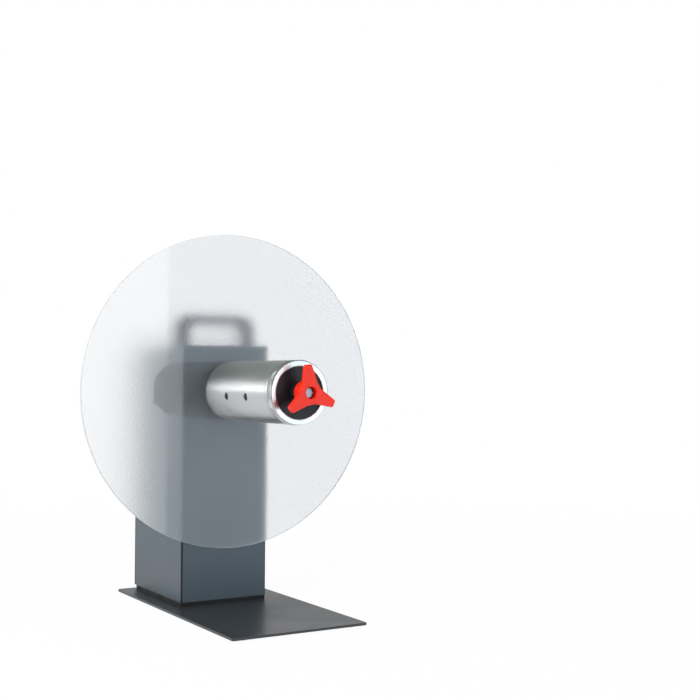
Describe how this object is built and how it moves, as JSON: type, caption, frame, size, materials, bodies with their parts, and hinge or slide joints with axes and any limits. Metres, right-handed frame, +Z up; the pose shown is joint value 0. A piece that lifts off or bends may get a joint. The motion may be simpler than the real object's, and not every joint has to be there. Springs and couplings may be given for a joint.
{
  "type": "manual label rewinder",
  "caption": "Bench label rewinder: a sheet-metal column on a base plate, with a rear hand crank that turns a clear flange disc and an expanding core drum worked by a tri-lobe knob.",
  "frame": {"origin": "on the bench, under the middle of the whole machine: x = 0 is the shaft's plane, y = 0 is halfway between the knob's face and the crank grip's end, and z = 0 is the underside of the feet", "axes": "+Z up, -Y the front, along the shaft from the column towards the drum's free end, +X to the right as seen from the front"},
  "size_m": [0.3999, 0.5002, 0.478],
  "materials": {
    "base_paint": "fine textured powder coat",
    "casing_paint": "satin powder coat",
    "foot_rubber": "matte",
    "zinc_steel": "zinc plated",
    "black_steel": "black oxide",
    "chassis_steel": "zinc plated sheet",
    "handle_plastic": "moulded",
    "housing_metal": "turned",
    "race_steel": "ground",
    "seal_rubber": "matte",
    "shaft_steel": "ground",
    "hub_aluminium": "turned",
    "clear_acrylic": "clear with a pebbled back",
    "drum_steel": "polished",
    "ring_steel": "turned and polished",
    "face_black": "gloss black",
    "cone_metal": "turned",
    "pin_steel": "ground",
    "spring_steel": "oiled",
    "knob_red": "moulded gloss",
    "knob_hub_black": "satin black",
    "bolt_steel": "bright",
    "crank_paint": "satin powder coat",
    "grip_plastic": "moulded"
  },
  "bodies": {
    "frame": {"base_plate": "base_paint", "rubber_feet": "foot_rubber", "base_screws": "zinc_steel", "base_nuts": "zinc_steel", "chassis": "chassis_steel", "handle_bridge": "chassis_steel", "bridge_screws": "zinc_steel", "bridge_nuts": "zinc_steel", "casing_wrap": "casing_paint", "top_back_cover": "casing_paint", "cover_screws": "black_steel", "carry_handle": "handle_plastic", "handle_screws": "zinc_steel", "front_bearing_housing": "housing_metal", "rear_bearing_housing": "housing_metal", "housing_bolts": "black_steel", "housing_nuts": "zinc_steel", "outer_races": "race_steel", "bearing_balls": "race_steel", "shaft_seals": "seal_rubber"},
    "spindle": {"inner_races": "race_steel", "shaft_collars": "shaft_steel", "collar_screws": "black_steel", "shaft": "shaft_steel", "disc_hub": "hub_aluminium", "hub_grub_screws": "black_steel", "hub_screws": "black_steel", "flange_disc": "clear_acrylic", "rear_drum_plug": "hub_aluminium", "core_drum": "drum_steel", "pin_guides": "hub_aluminium", "front_drum_plug": "hub_aluminium", "front_ring": "ring_steel", "face_plate": "face_black", "expander_key": "shaft_steel", "garter_rings": "spring_steel", "crank_arm": "crank_paint", "crank_set_screw": "black_steel", "crank_end_washer": "zinc_steel", "crank_end_screw": "black_steel", "grip_bolt": "zinc_steel", "grip_nut": "zinc_steel"},
    "knob": {"lead_screw": "shaft_steel", "knob_hub": "knob_hub_black", "tri_lobe_knob": "knob_red", "knob_washer": "zinc_steel", "knob_bolt": "bolt_steel"},
    "expander_sleeve": {"expander": "cone_metal"},
    "left_pins": {"grip_pins_left": "pin_steel"},
    "right_pins": {"grip_pins_right": "pin_steel"},
    "top_pins": {"grip_pins_top": "pin_steel"},
    "grip": {"crank_grip": "grip_plastic"}
  },
  "joints": [
    {"name": "spindle_spin", "type": "hinge", "parent": "frame", "child": "spindle", "pos_m": [0, 0.05525, 0.278], "axis": [0, 1, 0], "continuous": true},
    {"name": "knob_turn", "type": "hinge", "parent": "spindle", "child": "knob", "pos_m": [0, -0.24, 0.278], "axis": [0, 1, 0], "range_deg": [0, 180]},
    {"name": "expander_slide", "type": "slide", "parent": "spindle", "child": "expander_sleeve", "axis": [0, -1, 0], "range_m": [0, 0.006]},
    {"name": "left_pins_slide", "type": "slide", "parent": "spindle", "child": "left_pins", "axis": [-0.9888, 0, -0.1495], "range_m": [0, 0.003], "deforming": ["garter_rings"]},
    {"name": "right_pins_slide", "type": "slide", "parent": "spindle", "child": "right_pins", "axis": [0.6239, 0, -0.7815], "range_m": [0, 0.003]},
    {"name": "top_pins_slide", "type": "slide", "parent": "spindle", "child": "top_pins", "axis": [0.3649, 0, 0.9311], "range_m": [0, 0.003]},
    {"name": "grip_spin", "type": "hinge", "parent": "spindle", "child": "grip", "pos_m": [0, 0.20455, 0.168], "axis": [0, 1, 0], "continuous": true}
  ],
  "couplings": [
    {"joint": "knob_turn", "follows": "expander_slide", "rad_per_m": 523.6},
    {"joint": "left_pins_slide", "follows": "expander_slide", "ratio": 0.5},
    {"joint": "right_pins_slide", "follows": "expander_slide", "ratio": 0.5},
    {"joint": "top_pins_slide", "follows": "expander_slide", "ratio": 0.5}
  ]
}
